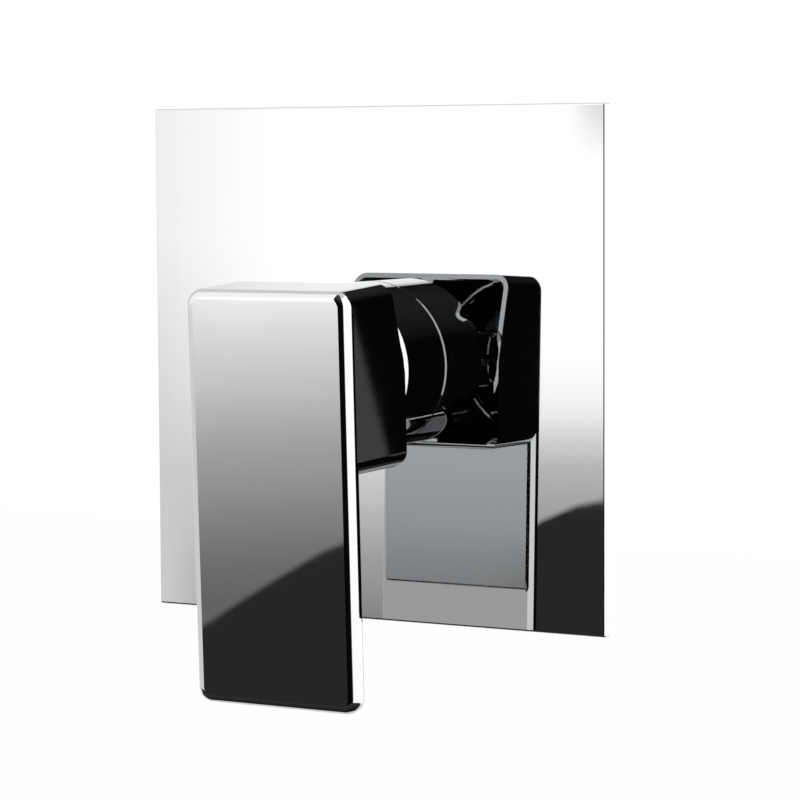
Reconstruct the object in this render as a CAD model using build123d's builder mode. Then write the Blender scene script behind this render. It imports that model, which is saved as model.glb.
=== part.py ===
"""Pressure balance shower valve: brass rough body with service stops, a balance unit behind a
ceramic disc cartridge, and the square polished trim with its slab lever.

Z is up, X runs from the hot side to the cold side, and the valve axis is Y. The origin is the
centre of the four ears that hold the body to the board in the wall, and the finished wall is
"rough_in" in front of it. Distances named "front" or "rear" are millimetres forward of the
finished wall, towards the user at -Y, so what lies inside the wall has negative values.
"""
import os
from math import cos, radians, sin, tan

from build123d import *

os.makedirs("parts", exist_ok=True)

# From the board behind the body to the finished wall
rough_in = 55.0

# Fits: running (radial), assembled (radial, within one body), between separate bodies
run_fit = 0.08
push_fit = 0.12
air_gap = 0.3

# Trim plate, a shallow pan pressed from sheet
plate_size = 165.0
plate_depth = 3.5
plate_sheet = 1.2
plate_edge = 0.7
plate_hole_gap = 1.2
gasket_width = 9.0
gasket_inset = 1.0

# Cartridge of the 35 mm class; the neck, nut, collar and balance unit take their diameters from it
cartridge_dia = 35.0
chamber_dia = cartridge_dia - 5.0
nose_dia = cartridge_dia - 8.0
nose_bore = nose_dia - 5.0
limit_ring_dia = nose_dia + 9.0
carrier_dia = chamber_dia - 5.6
disc_dia = carrier_dia - 0.4
bowl_dia = cartridge_dia - 4.0
piston_bore = bowl_dia - 15.0
piston_waist = piston_bore - 6.0
balance_cap_dia = piston_bore + 3.0
feed_x = piston_bore / 2 + 3.0

# Neck of the body, retaining nut and collar, one over the other
neck_wall_thickness = 3.38
nut_wall = 2.2
nut_to_collar = 1.1
collar_wall = 2.5
neck_bore = cartridge_dia + 2 * push_fit
neck_thread_dia = neck_bore + 2 * neck_wall_thickness
nut_dia = neck_thread_dia + 2 * nut_wall
collar_bore = nut_dia + 2 * nut_to_collar
collar_dia = collar_bore + 2 * collar_wall
collar_length = 25.3
collar_foot = 0.6
collar_lip = 0.9

# Lever handle: slab, hollow neck and hub; "out" distances run forward from the lever's pivot
handle_tilt = 2.2
slab_width = 57.5
slab_height = 128.5
slab_thickness = 6.5
slab_front_edge = 3.0
slab_back_edge = 2.2
slab_corner = 5.0
slab_top = 28.2
slab_out = 48.3
neck_height = 56.1
neck_wall = 1.6
neck_draft = 1.2
neck_rear_out = 14.6
neck_relief = 7.6
neck_relief_start = 1.0
neck_foot_corner = 4.0
rim_pad_height = 6.2
rim_pad_thickness = 1.1
rim_pad_depth = 6.0
hub_size = 19.0
hub_rear_out = 19.0
hub_rib = 2.0
hub_screw_out = 25.0

# Lever stem, its pin and the adapter on it
pivot_front = 20.0
stem_size = 8.0
stem_out = 26.0
stem_ball = 5.0
stem_arm = 12.5
pin_dia = 4.0
pin_length = 19.0
adapter_size = 13.0
adapter_rear_out = 12.6
adapter_floor = 5.0
adapter_screw_dia = 4.0
set_screw_dia = 5.0
set_screw_length = 8.0
plug_dia = 5.6
plug_length = 3.5
adapter_screw_reach = 9.0
lift_angle = 20.0

# Inside the cartridge
housing_rear = -8.0
housing_shoulder_front = 14.0
nose_front = 25.0
chamber_front = 12.0
rotor_flange = 2.7
rotor_slot_height = 15.0
carrier_thickness = 5.4
disc_thickness = 3.0
pocket_width = 15.0
pocket_height = 9.0
pocket_corner = 2.5
pocket_depth = 1.8
disc_gap = 0.1
fixed_disc_thickness = 4.0
port_dia = 6.5
port_x = 6.5
port_z = -4.5
outlet_port_z = 6.0
outlet_port_dia = 7.0
base_flange = 4.0
feed_dia = 4.5
limit_cam_thickness = 1.8
limit_finger = 5.0
limit_tab_width = 5.0
turn_angle = 50.0

# Balance unit behind the cartridge
sleeve_rear = -49.0
first_seal_setback = 8.0
hot_gallery_pitch = 10.0
cold_gallery_pitch = 13.0
feed_depth = 10.0
sleeve_scallop = 8.0
scallop_depth = 4.5
piston_length = 24.0
piston_land = 4.0
piston_travel = 2.0
balance_cap_thickness = 4.5
seal_wire = 1.6
seal_groove = 2.3

# Rough body
neck_front = 11.0
nut_rear = -4.0
nut_flange = 3.0
barrel_dia = neck_thread_dia + 8.0
barrel_front = -10.0
barrel_rear = -rough_in
port_depth = -34.0
port_reach = 56.0
port_end_length = 14.0
arm_dia = 26.0
arm_reach = port_reach - port_end_length
outlet_bore = 9.0
port_thread_dia = 21.3
socket_bore = 15.95
socket_depth = 12.7
channel_dia = 12.0
ear_radius = 35.0
ear_dia = 14.0
ear_hole = 5.5
ear_thickness = 5.0
thread_pitch = 1.8
port_thread_turns = 4

# Service stops
stop_to_port_end = 20.0
stop_x = port_reach - stop_to_port_end
seat_chamber = 8.0
knee_setback = 10.0
knee_drop = 6.0
knee_bore = 6.0
gallery_bore = 5.0
tower_dia = 23.0
tower_front = -14.0
tower_rear = -49.0
stop_bore = 14.0
stop_seat = -36.0
seat_bore = 9.0
stop_stem_dia = 6.0
stop_stem_front = -7.0
bonnet_hex = 17.0
bonnet_head = 5.0
bonnet_thread = 8.0
stop_holder_dia = 12.4
stop_holder_length = 4.6
stop_washer = 1.8
stop_washer_dia = 11.0
stop_socket = 3.2
stop_close_gap = 0.1

# Cap on the unused tub port
cap_hex = 24.0
cap_length = 13.0
cap_floor = 3.0
cap_seal = 1.5

section = Plane(origin=(0, -rough_in, 0), x_dir=(1, 0, 0), z_dir=(0, 0, -1))


def y_at(distance):
    """The Y coordinate at this distance in front of the wall."""
    return -rough_in - distance


def front(distance):
    """The plane parallel to the wall at this distance in front of it; its y axis is up."""
    return Plane.XZ.offset(-y_at(distance))


def at(x, z, distance):
    """A point given by its place on the wall and its distance in front of the wall."""
    return Vector(x, y_at(distance), z)


def turned(outline, mode=Mode.ADD):
    """Turn a closed outline of (radius, distance in front of the wall) about the valve axis."""
    with BuildSketch(section) as profile:
        with BuildLine():
            Polyline(*outline, close=True)
        make_face()
    revolve(profile.sketch, axis=Axis.Y, mode=mode)


def seal_ring(radius, distance, wire):
    """A square-cut seal about the valve axis."""
    with BuildSketch(section) as profile:
        with Locations((radius, distance)):
            Rectangle(wire, wire)
    revolve(profile.sketch, axis=Axis.Y)


def drilled(start, end, diameter):
    """Cut a straight round passage between two points."""
    with BuildSketch(Plane(origin=start, z_dir=end - start)) as profile:
        Circle(diameter / 2)
    extrude(profile.sketch, amount=(end - start).length, mode=Mode.SUBTRACT)


# Places worked out from the sizes above
plate_front = plate_depth
collar_front = plate_front + collar_length
housing_face = housing_shoulder_front
nut_front = housing_shoulder_front + nut_flange
rotor_top = chamber_front - disc_gap
rotor_bottom = rotor_top - rotor_flange
carrier_top = rotor_bottom - 2 * disc_gap
carrier_bottom = carrier_top - carrier_thickness
moving_disc_rear = carrier_bottom - disc_thickness
fixed_disc_front = moving_disc_rear - disc_gap
fixed_disc_rear = fixed_disc_front - fixed_disc_thickness
base_rear = housing_rear - base_flange
disc_travel = stem_arm * radians(lift_angle)
stem_rise = stem_arm * sin(radians(handle_tilt))
bowl_rear = sleeve_rear - 1.0
holder_front = tower_front - bonnet_thread - 0.4
holder_rear = holder_front - stop_holder_length
washer_rear = holder_rear - stop_washer
neck_floor = slab_top - neck_height
adapter_front_out = stem_out + adapter_floor
screw_head = 2.6
pocket_floor_front = pivot_front - stem_arm - stem_ball / 2 - 0.5
pivot = at(0, 0, pivot_front)
lever = Plane(
    origin=pivot,
    x_dir=(1, 0, 0),
    z_dir=(0, -cos(radians(handle_tilt)), -sin(radians(handle_tilt))),
)
lever_side = Plane(origin=pivot, x_dir=lever.z_dir, z_dir=(-1, 0, 0))
set_screw_plane = Plane(
    origin=lever.offset(hub_screw_out).origin, x_dir=(1, 0, 0), z_dir=lever.y_dir
)

# Trim plate
with BuildPart() as trim_plate:
    with BuildSketch(front(push_fit)):
        Rectangle(plate_size, plate_size)
    extrude(amount=plate_depth - push_fit)
    fillet(trim_plate.edges().filter_by(Axis.Y), plate_edge)
    fillet(trim_plate.faces().sort_by(Axis.Y)[0].edges(), plate_edge)
    with BuildSketch(front(0)):
        RectangleRounded(plate_size - 2 * plate_sheet, plate_size - 2 * plate_sheet, plate_edge)
    extrude(amount=plate_depth - plate_sheet, mode=Mode.SUBTRACT)
    with BuildSketch(front(0)):
        Circle(nut_dia / 2 + plate_hole_gap)
    extrude(amount=plate_depth, mode=Mode.SUBTRACT)
trim_plate.part.label = "trim_plate"
export_step(trim_plate.part, "parts/trim_plate.step")

# Foam gasket, between the plate's pan and the wall
gasket_outer = plate_size - 2 * (plate_sheet + gasket_inset)
with BuildPart() as plate_gasket:
    with BuildSketch(front(0)):
        Rectangle(gasket_outer, gasket_outer)
        Rectangle(gasket_outer - 2 * gasket_width, gasket_outer - 2 * gasket_width, mode=Mode.SUBTRACT)
        with Locations((0, -(gasket_outer - gasket_width) / 2)):
            Rectangle(gasket_width, gasket_width, mode=Mode.SUBTRACT)
    extrude(amount=plate_depth - plate_sheet)
plate_gasket.part.label = "plate_gasket"
export_step(plate_gasket.part, "parts/plate_gasket.step")

# Collar: a turned sleeve screwed over the retaining nut
thread_front = nut_front - 6.0
with BuildPart() as collar:
    turned([
        (nut_dia / 2 + push_fit, plate_front),
        (collar_dia / 2 - collar_foot, plate_front),
        (collar_dia / 2, plate_front + collar_foot),
        (collar_dia / 2, collar_front - collar_lip),
        (collar_dia / 2 - collar_lip, collar_front),
        (collar_bore / 2 + 0.4, collar_front),
        (collar_bore / 2, collar_front - 0.4),
        (collar_bore / 2, thread_front),
        (nut_dia / 2 + push_fit, thread_front - 0.6),
    ])
collar.part.label = "collar"
export_step(collar.part, "parts/collar.step")

# Retaining nut: a cup over the body's neck that clamps the cartridge by its shoulder
oring_front = nut_front - 3.4
with BuildPart() as retaining_nut:
    turned([
        (neck_thread_dia / 2 + push_fit, nut_rear),
        (nut_dia / 2 - 0.8, nut_rear),
        (nut_dia / 2, nut_rear + 0.8),
        (nut_dia / 2, oring_front - seal_groove / 2),
        (nut_dia / 2 - 1.0, oring_front - seal_groove / 2),
        (nut_dia / 2 - 1.0, oring_front + seal_groove / 2),
        (nut_dia / 2, oring_front + seal_groove / 2),
        (nut_dia / 2, nut_front - 0.8),
        (nut_dia / 2 - 0.8, nut_front),
        (nose_dia / 2 + 2 * push_fit, nut_front),
        (nose_dia / 2 + 2 * push_fit, housing_face),
        (neck_thread_dia / 2 + push_fit, housing_face),
    ])
    with BuildSketch(front(nut_front)):
        with PolarLocations(nut_dia / 2 - 1.2, 6):
            Rectangle(4.0, 4.4)
    extrude(amount=-1.8, mode=Mode.SUBTRACT)
retaining_nut.part.label = "retaining_nut"
export_step(retaining_nut.part, "parts/retaining_nut.step")

# Seal between the nut and the collar
collar_seal_wire = (collar_bore - nut_dia) / 2 + 1.0 - 0.1
with BuildPart() as collar_oring:
    seal_ring(nut_dia / 2 - 1.0 + collar_seal_wire / 2 + 0.02, oring_front, collar_seal_wire)
collar_oring.part.label = "collar_oring"
export_step(collar_oring.part, "parts/collar_oring.step")

# Handle: slab with pillowed edges, hollow square neck relieved at the top, hub and ribs
slab_middle = slab_top - slab_height / 2
neck_middle = slab_top - neck_height / 2
slab_back_out = slab_out - slab_thickness
cavity_floor_out = slab_back_out + 1.0
boss_height = -hub_size / 2 - neck_floor
neck_flare = (slab_back_out + slab_back_edge - neck_rear_out) * tan(radians(neck_draft))
rim_width = slab_width + 2 * neck_flare
rim_height = neck_height + 2 * neck_flare
rim_floor = neck_floor - neck_flare
rim_pad_x = rim_width / 2 - neck_wall - rim_pad_thickness / 2
with BuildPart() as handle:
    with BuildSketch(lever.offset(slab_back_out)):
        with Locations((0, slab_middle)):
            RectangleRounded(slab_width, slab_height, slab_corner)
    extrude(amount=slab_thickness)
    fillet(handle.faces().sort_by(Axis.Y)[0].edges(), slab_front_edge)
    fillet(handle.faces().sort_by(Axis.Y)[-1].edges(), slab_back_edge)
    with BuildSketch(lever.offset(neck_rear_out)):
        with Locations((0, neck_middle)):
            RectangleRounded(rim_width, rim_height, slab_corner)
    extrude(amount=slab_out - slab_front_edge - neck_rear_out, taper=neck_draft)
    with BuildSketch(lever.offset(neck_rear_out)):
        with Locations((0, neck_middle)):
            RectangleRounded(
                rim_width - 2 * neck_wall, rim_height - 2 * neck_wall, slab_corner - neck_wall
            )
    extrude(amount=cavity_floor_out - neck_rear_out, taper=neck_draft, mode=Mode.SUBTRACT)
    with BuildSketch(lever.offset(neck_rear_out)):
        with Locations(
            (rim_pad_x, neck_relief_start - rim_pad_height / 2),
            (-rim_pad_x, neck_relief_start - rim_pad_height / 2),
        ):
            Rectangle(rim_pad_thickness + neck_wall, rim_pad_height)
    extrude(amount=rim_pad_depth)
    with BuildSketch(lever.offset(hub_rear_out)):
        RectangleRounded(hub_size, hub_size, 2.0)
        with Locations((0, neck_floor + boss_height / 2)):
            Rectangle(hub_size / 2, boss_height)
        Rectangle(slab_width - neck_wall, hub_rib)
        with Locations((0, (slab_top - neck_wall) / 2)):
            Rectangle(hub_rib, slab_top - neck_wall)
    extrude(amount=cavity_floor_out + 0.5 - hub_rear_out)
    with BuildSketch(lever.offset(hub_rear_out)):
        Rectangle(adapter_size + 2 * push_fit, adapter_size + 2 * push_fit)
    extrude(amount=adapter_front_out + screw_head + 1.0 - hub_rear_out, mode=Mode.SUBTRACT)
    with BuildSketch(lever_side):
        with BuildLine():
            Polyline(
                (neck_rear_out, neck_relief_start),
                (neck_rear_out + neck_relief, slab_top + 1.0),
                (neck_rear_out - 5.0, slab_top + 1.0),
                (neck_rear_out - 5.0, neck_relief_start),
                close=True,
            )
        make_face()
        with BuildLine():
            Polyline(
                (neck_rear_out, rim_floor + neck_foot_corner),
                (neck_rear_out - 1.0, rim_floor + neck_foot_corner),
                (neck_rear_out - 1.0, rim_floor - 1.0),
                (neck_rear_out + neck_foot_corner, rim_floor - 1.0),
                (neck_rear_out + neck_foot_corner, rim_floor),
            )
            RadiusArc(
                (neck_rear_out, rim_floor + neck_foot_corner),
                (neck_rear_out + neck_foot_corner, rim_floor),
                -neck_foot_corner,
            )
        make_face()
    extrude(amount=slab_width, both=True, mode=Mode.SUBTRACT)
    with BuildSketch(set_screw_plane):
        Circle(set_screw_dia / 2 + 0.05)
    extrude(amount=-slab_width, mode=Mode.SUBTRACT)
    with BuildSketch(set_screw_plane.offset(neck_floor + plug_length)):
        Circle(plug_dia / 2 + push_fit)
    extrude(amount=-plug_length - 1.0, mode=Mode.SUBTRACT)
handle.part.label = "handle"
export_step(handle.part, "parts/handle.step")

# Plug in the set screw's access hole, under the neck
with BuildPart() as set_screw_plug:
    with BuildSketch(set_screw_plane.offset(neck_floor + plug_length - 0.2)):
        Circle(plug_dia / 2)
    extrude(amount=0.2 - plug_length)
    chamfer(set_screw_plug.edges().sort_by(Axis.Z)[0], 0.4)
set_screw_plug.part.label = "set_screw_plug"
export_step(set_screw_plug.part, "parts/set_screw_plug.step")

# Set screw, from below through the hub onto the adapter
with BuildPart() as set_screw:
    with BuildSketch(set_screw_plane.offset(-adapter_size / 2 - 0.05)):
        Circle(set_screw_dia / 2)
    extrude(amount=-set_screw_length)
    with BuildSketch(set_screw_plane.offset(-adapter_size / 2 - 0.05 - set_screw_length)):
        RegularPolygon(radius=1.25, side_count=6, major_radius=False)
    extrude(amount=3.0, mode=Mode.SUBTRACT)
set_screw.part.label = "set_screw"
export_step(set_screw.part, "parts/set_screw.step")

# Adapter: a square sleeve that lengthens the cartridge's stem
with BuildPart() as handle_adapter:
    with BuildSketch(lever.offset(adapter_rear_out)):
        Rectangle(adapter_size, adapter_size)
    extrude(amount=adapter_front_out - adapter_rear_out)
    chamfer(handle_adapter.edges().filter_by(Axis(pivot, lever.z_dir)), 1.0)
    with BuildSketch(lever.offset(adapter_rear_out)):
        Rectangle(stem_size + 2 * push_fit, stem_size + 2 * push_fit)
    extrude(amount=stem_out - adapter_rear_out, mode=Mode.SUBTRACT)
    with BuildSketch(lever.offset(stem_out)):
        Circle(adapter_screw_dia / 2 + push_fit)
    extrude(amount=adapter_floor, mode=Mode.SUBTRACT)
handle_adapter.part.label = "handle_adapter"
export_step(handle_adapter.part, "parts/handle_adapter.step")

# Screw that holds the adapter on the stem
with BuildPart() as adapter_screw:
    with BuildSketch(lever.offset(stem_out - adapter_screw_reach)):
        Circle(adapter_screw_dia / 2)
    extrude(amount=adapter_screw_reach + adapter_floor)
    with BuildSketch(lever.offset(adapter_front_out)):
        Circle(adapter_screw_dia)
    extrude(amount=screw_head)
    chamfer(adapter_screw.edges().filter_by(GeomType.CIRCLE).sort_by(Axis.Y)[0], 0.7)
    with BuildSketch(lever.offset(adapter_front_out + screw_head)):
        Rectangle(0.9, 5.0)
        Rectangle(5.0, 0.9)
    extrude(amount=-1.4, mode=Mode.SUBTRACT)
adapter_screw.part.label = "adapter_screw"
export_step(adapter_screw.part, "parts/adapter_screw.step")

# Lever stem: square bar, pivot eye, tongue and ball that drives the disc carrier
with BuildPart() as lever_stem:
    with BuildSketch(lever_side):
        Circle(stem_size / 2)
        with Locations((stem_out / 2, 0)):
            Rectangle(stem_out, stem_size)
    extrude(amount=stem_size / 2, both=True)
    chamfer(lever_stem.faces().sort_by(Axis.Y)[0].edges(), 0.5)
    with BuildSketch(lever_side):
        with Locations((-stem_arm / 2, 0)):
            Rectangle(stem_arm, 3.4)
    extrude(amount=1.7, both=True)
    with Locations(lever.offset(-stem_arm).location):
        Sphere(stem_ball / 2)
    with BuildSketch(lever_side):
        Circle(pin_dia / 2 + run_fit)
    extrude(amount=stem_size, both=True, mode=Mode.SUBTRACT)
    with BuildSketch(lever.offset(stem_out)):
        Circle(adapter_screw_dia / 2 + 0.05)
    extrude(amount=-adapter_screw_reach - 1.0, mode=Mode.SUBTRACT)
lever_stem.part.label = "lever_stem"
export_step(lever_stem.part, "parts/lever_stem.step")

# Pin that the lever rocks on, pressed into the rotor
with BuildPart() as lever_pin:
    with BuildSketch(Plane.YZ.offset(-pin_length / 2)):
        with Locations((y_at(pivot_front), 0)):
            Circle(pin_dia / 2)
    extrude(amount=pin_length)
    chamfer(lever_pin.edges().filter_by(GeomType.CIRCLE), 0.4)
lever_pin.part.label = "lever_pin"
export_step(lever_pin.part, "parts/lever_pin.step")

# Rotor: turns in the cartridge's nose and carries the lever in a slot
rotor_front = nose_front + disc_gap
rotor_radius = nose_bore / 2 - run_fit
rotor_groove_front = chamber_front + 3.4
slot_width = stem_size + 0.4
with BuildPart() as rotor:
    turned([
        (0, rotor_bottom),
        (chamber_dia / 2 - air_gap, rotor_bottom),
        (chamber_dia / 2 - air_gap, rotor_top),
        (rotor_radius, rotor_top),
        (rotor_radius, rotor_groove_front - 0.9),
        (rotor_radius - 1.1, rotor_groove_front - 0.9),
        (rotor_radius - 1.1, rotor_groove_front + 0.9),
        (rotor_radius, rotor_groove_front + 0.9),
        (rotor_radius, rotor_front),
        (0, rotor_front),
    ])
    with BuildSketch(front(rotor_front)):
        Rectangle(slot_width, rotor_slot_height)
    extrude(amount=rotor_bottom - rotor_front, mode=Mode.SUBTRACT)
    with BuildSketch(Plane.YZ):
        with Locations((y_at(pivot_front), 0)):
            Circle(pin_dia / 2)
    extrude(amount=chamber_dia / 2, both=True, mode=Mode.SUBTRACT)
rotor.part.label = "rotor"
export_step(rotor.part, "parts/rotor.step")

# Rotor seal
with BuildPart() as rotor_oring:
    seal_ring(rotor_radius - 0.5, rotor_groove_front, 1.1)
rotor_oring.part.label = "rotor_oring"
export_step(rotor_oring.part, "parts/rotor_oring.step")

# Limit cam, clipped to the rotor's front, with a finger over the limit ring
finger_radius = limit_ring_dia / 2 - 1.6
with BuildPart() as limit_cam:
    with BuildSketch(front(rotor_front)):
        Circle(nose_dia / 2 - 0.6)
        Rectangle(slot_width, rotor_slot_height, mode=Mode.SUBTRACT)
    extrude(amount=limit_cam_thickness)
    with BuildSketch(front(rotor_front)):
        with Locations((0, (nose_dia / 2 - 1.2 + finger_radius + 1.2) / 2)):
            Rectangle(limit_tab_width, finger_radius + 2.4 - nose_dia / 2)
    extrude(amount=limit_cam_thickness)
    with BuildSketch(front(rotor_front)):
        with Locations((0, finger_radius + 0.1)):
            Rectangle(limit_tab_width, 2.2)
    extrude(amount=-limit_finger)
limit_cam.part.label = "limit_cam"
export_step(limit_cam.part, "parts/limit_cam.step")

# Limit ring: pushed on the cartridge's nose, open over the finger's arc
window_angle = 2 * (turn_angle + 11.0)
with BuildPart() as limit_ring:
    with BuildSketch(front(nut_front)):
        Circle(limit_ring_dia / 2)
        Circle(nose_dia / 2 + push_fit, mode=Mode.SUBTRACT)
    extrude(amount=2.6)
    with BuildSketch(front(nut_front)):
        with BuildLine():
            start = 90 + window_angle / 2
            sweep_angle = 360 - window_angle
            outer = CenterArc((0, 0), limit_ring_dia / 2, start, sweep_angle)
            inner = CenterArc((0, 0), limit_ring_dia / 2 - 3.0, start, sweep_angle)
            Line(outer @ 0, inner @ 0)
            Line(outer @ 1, inner @ 1)
        make_face()
    extrude(amount=rotor_front - nut_front - 1.0)
limit_ring.part.label = "limit_ring"
export_step(limit_ring.part, "parts/limit_ring.step")

# Cartridge housing
housing_groove_front = 4.0
with BuildPart() as cartridge_housing:
    turned([
        (chamber_dia / 2, housing_rear),
        (cartridge_dia / 2, housing_rear),
        (cartridge_dia / 2, housing_groove_front - 1.1),
        (cartridge_dia / 2 - 1.2, housing_groove_front - 1.1),
        (cartridge_dia / 2 - 1.2, housing_groove_front + 1.1),
        (cartridge_dia / 2, housing_groove_front + 1.1),
        (cartridge_dia / 2, housing_face - 0.6),
        (cartridge_dia / 2 - 0.6, housing_face),
        (nose_dia / 2, housing_face),
        (nose_dia / 2, nose_front - 0.5),
        (nose_dia / 2 - 0.5, nose_front),
        (nose_bore / 2, nose_front),
        (nose_bore / 2, chamber_front),
        (chamber_dia / 2, chamber_front),
    ])
cartridge_housing.part.label = "cartridge_housing"
export_step(cartridge_housing.part, "parts/cartridge_housing.step")

# Seal between the cartridge and the body's neck
with BuildPart() as cartridge_oring:
    seal_ring(cartridge_dia / 2 - 0.55, housing_groove_front, 1.2)
cartridge_oring.part.label = "cartridge_oring"
export_step(cartridge_oring.part, "parts/cartridge_oring.step")

# Disc carrier, driven up and down by the lever's ball
rest_rise = disc_travel / 2
notch_width = 4.4
with BuildPart() as disc_carrier:
    with BuildSketch(front(carrier_bottom)):
        with Locations((0, rest_rise)):
            Circle(carrier_dia / 2)
    extrude(amount=carrier_thickness)
    with BuildSketch(front(carrier_bottom)):
        with Locations((carrier_dia / 2 - 1.4, rest_rise), (1.4 - carrier_dia / 2, rest_rise)):
            Rectangle(2.0, notch_width - 2 * push_fit)
    extrude(amount=-disc_thickness / 2)
    with BuildSketch(front(carrier_top)):
        with Locations((0, stem_rise)):
            Rectangle(stem_ball + 2 * air_gap, stem_ball + 2 * air_gap)
    extrude(amount=pocket_floor_front - carrier_top, mode=Mode.SUBTRACT)
disc_carrier.part.label = "disc_carrier"
export_step(disc_carrier.part, "parts/disc_carrier.step")

# Moving ceramic disc, with its mixing pocket on the rear face
with BuildPart() as moving_disc:
    with BuildSketch(front(moving_disc_rear)):
        with Locations((0, rest_rise)):
            Circle(disc_dia / 2)
        with Locations((carrier_dia / 2 - 1.4, rest_rise), (1.4 - carrier_dia / 2, rest_rise)):
            Rectangle(2.6, notch_width, mode=Mode.SUBTRACT)
    extrude(amount=disc_thickness)
    with BuildSketch(front(moving_disc_rear)):
        with Locations((0, rest_rise + 2.4)):
            RectangleRounded(pocket_width, pocket_height, pocket_corner)
    extrude(amount=pocket_depth, mode=Mode.SUBTRACT)
moving_disc.part.label = "moving_disc"
export_step(moving_disc.part, "parts/moving_disc.step")

# Fixed ceramic disc
with BuildPart() as fixed_disc:
    with BuildSketch(front(fixed_disc_rear)):
        Circle(chamber_dia / 2 - push_fit)
        with Locations((port_x, port_z), (-port_x, port_z)):
            Circle(port_dia / 2, mode=Mode.SUBTRACT)
        with Locations((0, outlet_port_z)):
            Circle(outlet_port_dia / 2, mode=Mode.SUBTRACT)
    extrude(amount=fixed_disc_thickness)
fixed_disc.part.label = "fixed_disc"
export_step(fixed_disc.part, "parts/fixed_disc.step")

# Cartridge base: plug under the disc, flange, slanted feeds and the outlet channel
seal_radius = port_dia / 2 + 1.0
with BuildPart() as cartridge_base:
    turned([
        (0, base_rear),
        (cartridge_dia / 2, base_rear),
        (cartridge_dia / 2, housing_rear),
        (chamber_dia / 2 - push_fit, housing_rear),
        (chamber_dia / 2 - push_fit, fixed_disc_rear),
        (0, fixed_disc_rear),
    ])
    with BuildSketch(front(fixed_disc_rear)):
        with Locations((port_x, port_z), (-port_x, port_z), (0, outlet_port_z)):
            Circle(seal_radius + 0.8)
    extrude(amount=-1.2, mode=Mode.SUBTRACT)
    drilled(at(port_x, port_z, fixed_disc_rear), at(feed_x, 0, base_rear - 0.5), port_dia - 1.0)
    drilled(at(-port_x, port_z, fixed_disc_rear), at(-feed_x, 0, base_rear - 0.5), port_dia - 1.0)
    drilled(at(0, outlet_port_z, fixed_disc_rear), at(0, outlet_port_z, base_rear), outlet_port_dia)
    with BuildSketch(front(base_rear)):
        with Locations((0, outlet_port_z + 3.0)):
            Rectangle(outlet_port_dia, outlet_port_z + 6.0)
    extrude(amount=2.4, mode=Mode.SUBTRACT)
cartridge_base.part.label = "cartridge_base"
export_step(cartridge_base.part, "parts/cartridge_base.step")

# Three seals under the fixed disc
with BuildPart() as base_seals:
    with BuildSketch(front(fixed_disc_rear)):
        with Locations((port_x, port_z), (-port_x, port_z), (0, outlet_port_z)):
            Circle(seal_radius + 0.7)
            Circle(seal_radius - 0.7, mode=Mode.SUBTRACT)
    extrude(amount=-1.2)
base_seals.part.label = "base_seals"
export_step(base_seals.part, "parts/base_seals.step")

# Balance sleeve: ported cylinder sealed into the body's bowl
sleeve_radius = bowl_dia / 2 - 0.2
groove_radius = sleeve_radius - 1.5
first_seal_front = base_rear - first_seal_setback
middle_seal_front = first_seal_front - hot_gallery_pitch
sleeve_seal_fronts = (first_seal_front, middle_seal_front, middle_seal_front - cold_gallery_pitch)
bore_front = base_rear - 3.5
bore_rear = sleeve_rear + balance_cap_thickness
with BuildPart() as balance_sleeve:
    with BuildSketch(front(base_rear)):
        Circle(sleeve_radius)
    extrude(amount=sleeve_rear - base_rear)
    for seal_front in sleeve_seal_fronts:
        with BuildSketch(front(seal_front - seal_groove / 2)):
            Circle(sleeve_radius + 1.0)
            Circle(groove_radius, mode=Mode.SUBTRACT)
        extrude(amount=seal_groove, mode=Mode.SUBTRACT)
    for gallery_front, gallery_rear in zip(sleeve_seal_fronts, sleeve_seal_fronts[1:]):
        with BuildSketch(front(gallery_rear + seal_groove)):
            Circle(sleeve_radius + 1.0)
            Circle(groove_radius + 0.4, mode=Mode.SUBTRACT)
        extrude(amount=gallery_front - gallery_rear - 2 * seal_groove, mode=Mode.SUBTRACT)
        with BuildSketch(Plane.YZ):
            with Locations((y_at((gallery_front + gallery_rear) / 2), 0)):
                Circle(feed_dia / 2)
        extrude(amount=bowl_dia, both=True, mode=Mode.SUBTRACT)
    with BuildSketch(front(bore_front)):
        Circle(piston_bore / 2)
    extrude(amount=bore_rear - bore_front, mode=Mode.SUBTRACT)
    with BuildSketch(front(sleeve_rear)):
        Circle(balance_cap_dia / 2 + push_fit)
    extrude(amount=balance_cap_thickness, mode=Mode.SUBTRACT)
    for side in (-1, 1):
        drilled(
            at(side * feed_x, 0, base_rear), at(side * feed_x, 0, bore_front - feed_depth), feed_dia
        )
        with BuildSketch(front(base_rear)):
            with Locations((0, side * bowl_dia / 2)):
                Rectangle(bowl_dia, sleeve_scallop)
        extrude(amount=-scallop_depth, mode=Mode.SUBTRACT)
balance_sleeve.part.label = "balance_sleeve"
export_step(balance_sleeve.part, "parts/balance_sleeve.step")

# Three seals on the sleeve
with BuildPart() as sleeve_orings:
    for seal_front in sleeve_seal_fronts:
        seal_ring(groove_radius + seal_wire / 2, seal_front, seal_wire)
sleeve_orings.part.label = "sleeve_orings"
export_step(sleeve_orings.part, "parts/sleeve_orings.step")

# Balance piston: three lands that follow the pressure difference
piston_front = (bore_front + bore_rear + piston_length) / 2
waist_length = (piston_length - 3 * piston_land) / 2
with BuildPart() as balance_piston:
    with BuildSketch(front(piston_front)):
        Circle(piston_bore / 2 - run_fit)
    extrude(amount=-piston_length)
    for waist_front in (
        piston_front - piston_land,
        piston_front - 2 * piston_land - waist_length,
    ):
        with BuildSketch(front(waist_front)):
            Circle(piston_bore)
            Circle(piston_waist / 2, mode=Mode.SUBTRACT)
        extrude(amount=-waist_length, mode=Mode.SUBTRACT)
balance_piston.part.label = "balance_piston"
export_step(balance_piston.part, "parts/balance_piston.step")

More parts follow.
